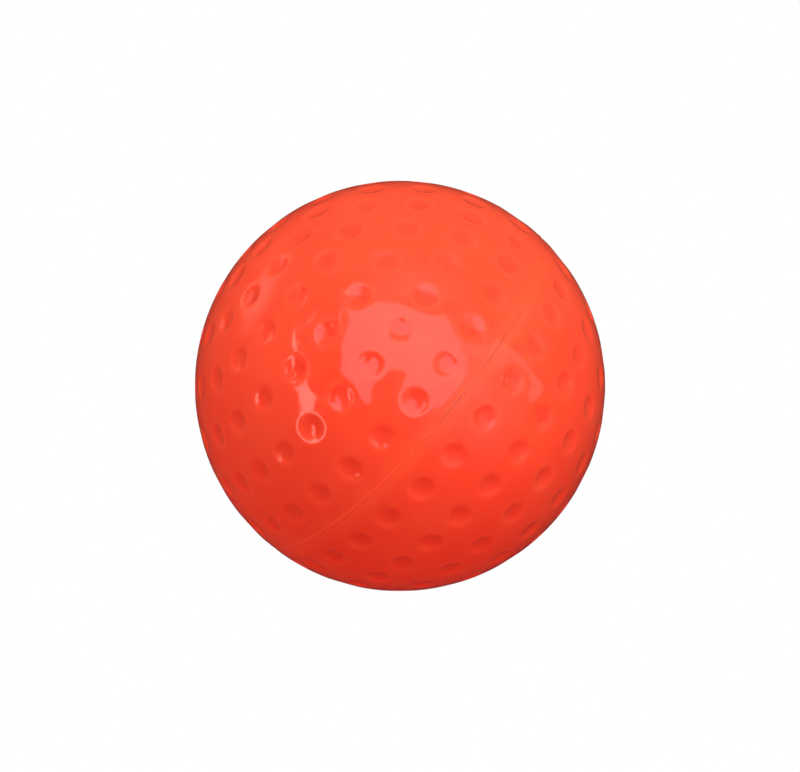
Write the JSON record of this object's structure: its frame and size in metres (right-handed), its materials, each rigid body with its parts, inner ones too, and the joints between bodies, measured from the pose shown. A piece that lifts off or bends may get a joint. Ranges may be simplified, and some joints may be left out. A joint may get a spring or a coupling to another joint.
{
  "type": "field hockey ball",
  "caption": "Solid dimpled field-hockey ball for turf: a glossy moulded two-part cover with dimples in rings, welded at a raised equator seam over a cork-and-rubber core.",
  "frame": {"origin": "centre of the ball", "axes": "+Z along the moulding axis through the pole of the upper cup; the weld lies in the XY plane; +X through the meridian of a first dimple of the upper cup's ring next to the weld"},
  "size_m": [0.0732, 0.0732, 0.0728],
  "materials": {
    "cover": "glossy moulded plasticised PVC, orange-red",
    "weld": "trimmed weld bead, glossy with fine scuffs",
    "bond": "amber contact cement, satin",
    "core": "granulated cork in dark rubber, matte"
  },
  "bodies": {
    "root": {"cover_half_upper": "cover", "cover_half_lower": "cover", "seam_weld": "weld", "bond_film_upper": "bond", "bond_film_lower": "bond", "cork_core": "core"}
  },
  "joints": []
}
